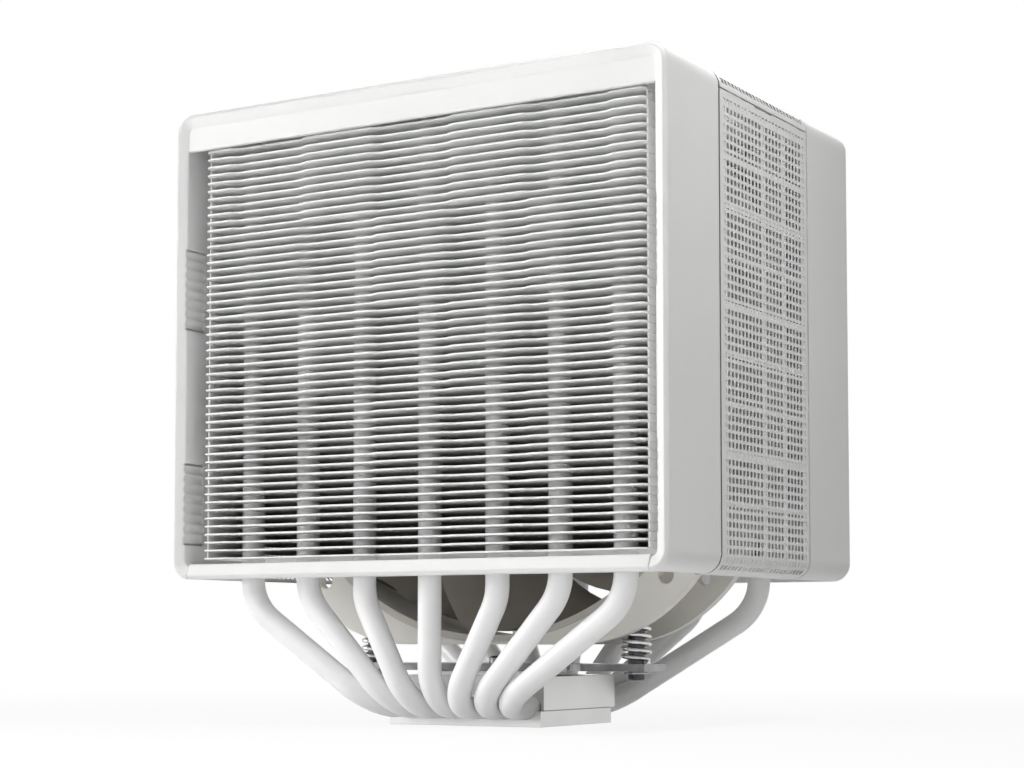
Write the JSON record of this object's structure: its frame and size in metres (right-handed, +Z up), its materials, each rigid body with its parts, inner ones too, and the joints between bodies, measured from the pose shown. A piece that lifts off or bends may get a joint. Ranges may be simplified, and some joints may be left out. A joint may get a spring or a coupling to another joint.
{
  "type": "cpu tower cooler",
  "caption": "White twin-tower air cooler for a processor: square shroud with perforated sides, bent heat pipes, slide-in fan and a sprung mounting bar.",
  "frame": {"origin": "centre of the flat contact face under the cold plate", "axes": "+Z up along the towers, +X to the side along the mounting bar, -Y towards the chequered front of the pictured tower"},
  "size_m": [0.147, 0.1124, 0.1625],
  "materials": {
    "white_fin_coat": "thin satin white coat on aluminium sheet",
    "white_pipe_coat": "smooth white coat on copper pipe",
    "plated_base": "milled, pale, satin",
    "white_shroud": "fine-grained white, matte",
    "white_panel": "matte white coat on perforated sheet",
    "bar_steel": "plated steel, satin",
    "spring_steel": "bright wire",
    "fan_plastic": "light warm grey, matte",
    "blade_plastic": "dark warm grey, matte",
    "pad_rubber": "soft, matte",
    "bearing_brass": "turned",
    "magnet_black": "dark sintered ring",
    "winding_copper": "lacquered wire over sheet-steel poles",
    "board_green": "lacquered board"
  },
  "bodies": {
    "cooler": {"cold_plate": "plated_base", "base_block": "plated_base", "mounting_bar": "bar_steel", "bar_screw": "bar_steel", "heat_pipe_1": "white_pipe_coat", "heat_pipe_2": "white_pipe_coat", "heat_pipe_3": "white_pipe_coat", "heat_pipe_4": "white_pipe_coat", "heat_pipe_5": "white_pipe_coat", "heat_pipe_6": "white_pipe_coat", "heat_pipe_7": "white_pipe_coat", "front_fins": "white_fin_coat", "rear_fins": "white_fin_coat", "front_shroud": "white_shroud", "front_lower_bar": "white_shroud", "rear_shroud": "white_shroud", "rear_lower_bar": "white_shroud", "side_panel_left": "white_panel", "side_panel_right": "white_panel"},
    "fan": {"fan_front_flange": "fan_plastic", "fan_rear_flange": "fan_plastic", "fan_duct": "fan_plastic", "fan_webs": "fan_plastic", "fan_motor_mount": "fan_plastic", "fan_bearing": "bearing_brass", "fan_stator": "winding_copper", "fan_board": "board_green", "fan_pads": "pad_rubber"},
    "rotor": {"fan_rotor": "blade_plastic", "fan_shaft": "bar_steel", "fan_magnet": "magnet_black"},
    "cover": {"top_cover": "white_panel"},
    "left_clip": {"retaining_clip_left": "bar_steel", "screw_spring_left": "spring_steel"},
    "left_screw": {"spring_screw_left": "bar_steel"},
    "right_clip": {"retaining_clip_right": "bar_steel", "screw_spring_right": "spring_steel"},
    "right_screw": {"spring_screw_right": "bar_steel"}
  },
  "joints": [
    {"name": "fan_lift", "type": "slide", "parent": "cooler", "child": "fan", "axis": [0, 0, 1], "range_m": [0, 0.145]},
    {"name": "rotor_spin", "type": "hinge", "parent": "fan", "child": "rotor", "pos_m": [0, 0.0056, 0.0909], "axis": [0, 1, 0], "continuous": true},
    {"name": "cover_lift", "type": "slide", "parent": "fan", "child": "cover", "axis": [0, 0, 1], "range_m": [0, 0.05]},
    {"name": "left_screw_press", "type": "slide", "parent": "cooler", "child": "left_clip", "axis": [0, 0, -1], "range_m": [0, 0.004], "stiffness_N_per_m": 5000, "springref_m": -0.002, "deforming": ["screw_spring_left"]},
    {"name": "left_screw_turn", "type": "hinge", "parent": "left_clip", "child": "left_screw", "pos_m": [-0.0405, 0, 0.02], "axis": [0, 0, 1], "continuous": true},
    {"name": "right_screw_press", "type": "slide", "parent": "cooler", "child": "right_clip", "axis": [0, 0, -1], "range_m": [0, 0.004], "stiffness_N_per_m": 5000, "springref_m": -0.002, "deforming": ["screw_spring_right"]},
    {"name": "right_screw_turn", "type": "hinge", "parent": "right_clip", "child": "right_screw", "pos_m": [0.0405, 0, 0.02], "axis": [0, 0, 1], "continuous": true}
  ]
}
